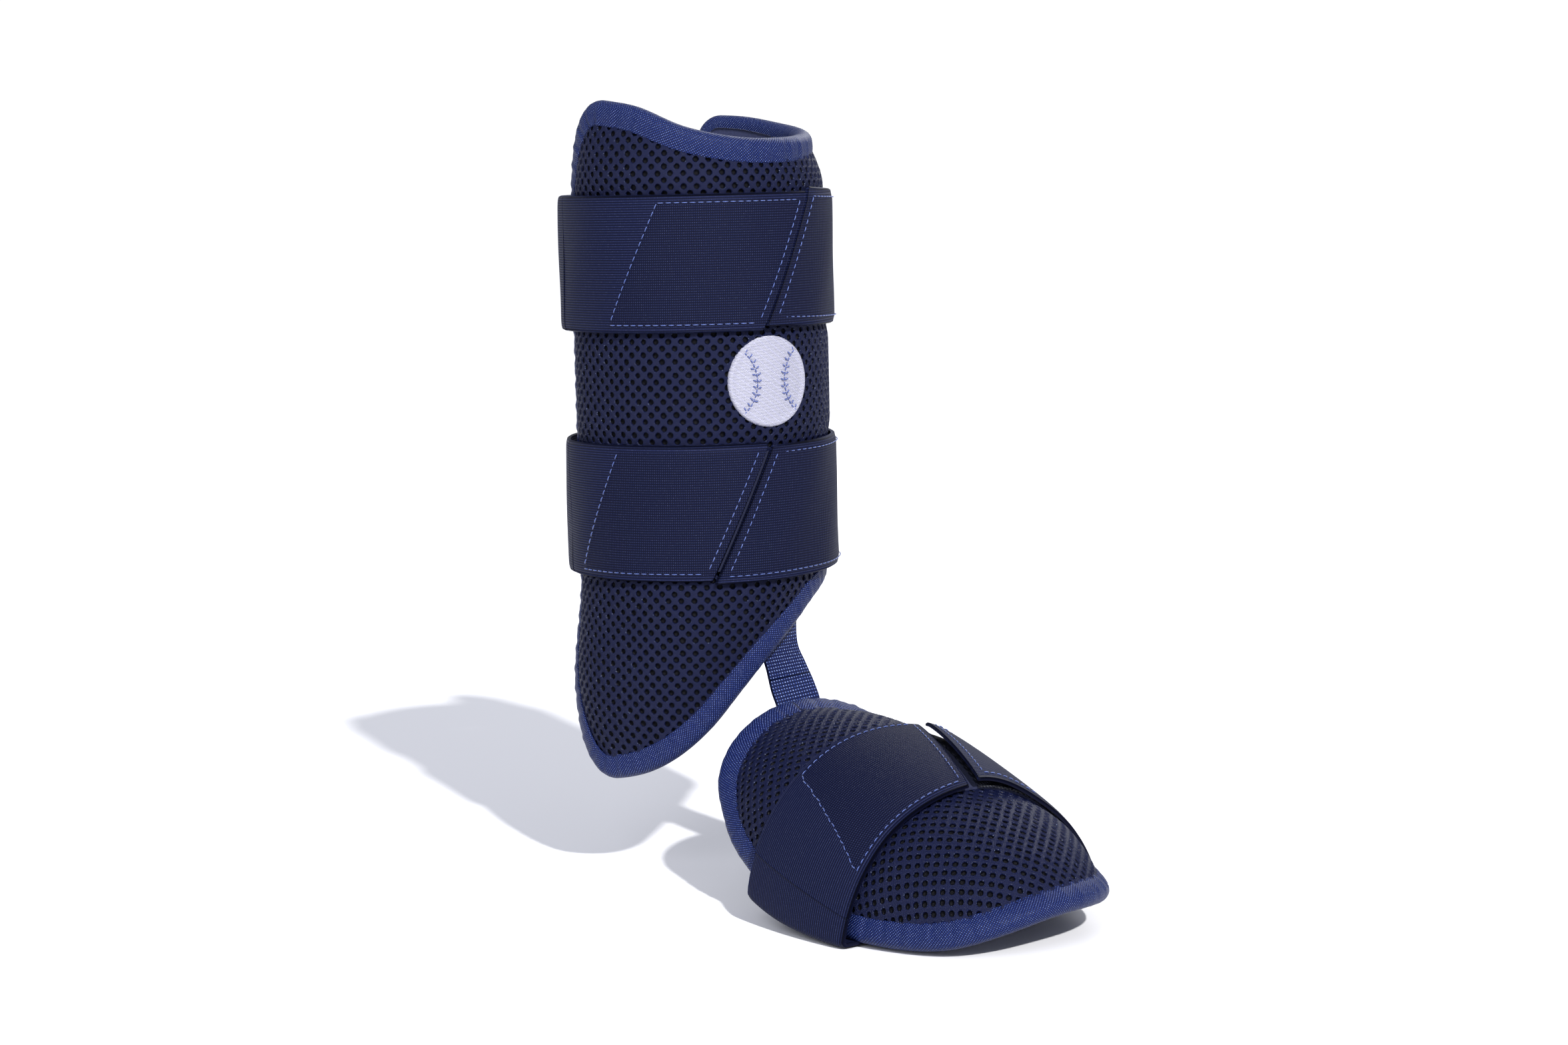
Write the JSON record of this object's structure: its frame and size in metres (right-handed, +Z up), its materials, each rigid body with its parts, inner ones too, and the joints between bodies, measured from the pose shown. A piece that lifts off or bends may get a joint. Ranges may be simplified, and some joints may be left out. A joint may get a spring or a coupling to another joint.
{
  "type": "leg guard",
  "caption": "Batter's padded leg guard: a mesh-covered C-shaped shin pad closed by elastic straps, with a foot guard hung from it on webbing.",
  "frame": {"origin": "on the leg's axis, midway between the two shin straps", "axes": "+Z up along the leg, -Y to the front of the shin and the toes, +X to the wearer's left"},
  "size_m": [0.1263, 0.2549, 0.2947],
  "materials": {
    "spacer_mesh": "black-navy polyester spacer mesh with round holes",
    "edge_tape": "royal navy ribbed binding tape",
    "elastic": "dark navy woven elastic with fine ribs",
    "hook": "hook fastener backing",
    "loop": "brushed loop fastener",
    "webbing": "royal navy polyester webbing",
    "embroidery": "white satin stitch embroidery",
    "shell": "moulded polypropylene plate",
    "foam": "closed cell foam",
    "lining": "brushed lining cloth"
  },
  "bodies": {
    "shin": {"shin_outer_mesh": "spacer_mesh", "shin_shell": "shell", "shin_foam": "foam", "shin_lining": "lining", "shin_edge_binding": "edge_tape", "shin_emblem": "embroidery", "upper_strap_band": "elastic", "lower_strap_band": "elastic", "upper_strap_loop_panel": "loop", "lower_strap_loop_panel": "loop", "upper_strap_sewn_pads": "elastic", "lower_strap_sewn_pads": "elastic", "connector_shin_tab": "webbing", "connector_backing": "webbing"},
    "upper_left_end": {"upper_strap_left_end": "elastic", "upper_strap_left_hook": "hook"},
    "upper_right_end": {"upper_strap_right_end": "elastic", "upper_strap_right_hook": "hook"},
    "lower_left_end": {"lower_strap_left_end": "elastic", "lower_strap_left_hook": "hook"},
    "lower_right_end": {"lower_strap_right_end": "elastic", "lower_strap_right_hook": "hook"},
    "connector": {"connector_webbing": "webbing"},
    "foot": {"foot_outer_mesh": "spacer_mesh", "foot_shell": "shell", "foot_foam": "foam", "foot_lining": "lining", "foot_edge_binding": "edge_tape", "foot_loop_panel": "loop", "foot_strap_sole_band": "elastic", "connector_foot_tab": "webbing"},
    "foot_left_end": {"foot_strap_left_end": "elastic", "foot_strap_left_hook": "hook"},
    "foot_right_end": {"foot_strap_right_end": "elastic", "foot_strap_right_hook": "hook"}
  },
  "joints": [
    {"name": "upper_left_end_open", "type": "hinge", "parent": "shin", "child": "upper_left_end", "pos_m": [-0.05151, 0.00908, 0.0485], "axis": [0, 0, -1], "range_deg": [0, 100]},
    {"name": "upper_right_end_open", "type": "hinge", "parent": "shin", "child": "upper_right_end", "pos_m": [0.05179, -0.00728, 0.0485], "axis": [0, 0, 1], "range_deg": [0, 100]},
    {"name": "lower_left_end_open", "type": "hinge", "parent": "shin", "child": "lower_left_end", "pos_m": [-0.05151, 0.00908, -0.044], "axis": [0, 0, -1], "range_deg": [0, 100]},
    {"name": "lower_right_end_open", "type": "hinge", "parent": "shin", "child": "lower_right_end", "pos_m": [0.05179, -0.00728, -0.044], "axis": [0, 0, 1], "range_deg": [0, 100]},
    {"name": "connector_swing", "type": "hinge", "parent": "shin", "child": "connector", "pos_m": [0.0121, -0.03417, -0.0994], "axis": [0.9966, 0.0326, 0.0752], "range_deg": [-50, 20]},
    {"name": "foot_swing", "type": "hinge", "parent": "connector", "child": "foot", "pos_m": [0.014, -0.04337, -0.1206], "axis": [0.9966, 0.0326, 0.0752], "range_deg": [-40, 40]},
    {"name": "foot_left_end_open", "type": "hinge", "parent": "foot", "child": "foot_left_end", "pos_m": [-0.04125, -0.1235, -0.16372], "axis": [0.0663, -0.9571, -0.2821], "range_deg": [0, 100]},
    {"name": "foot_right_end_open", "type": "hinge", "parent": "foot", "child": "foot_right_end", "pos_m": [0.06588, -0.1235, -0.15281], "axis": [-0.0218, 0.9577, 0.2868], "range_deg": [0, 100]}
  ]
}
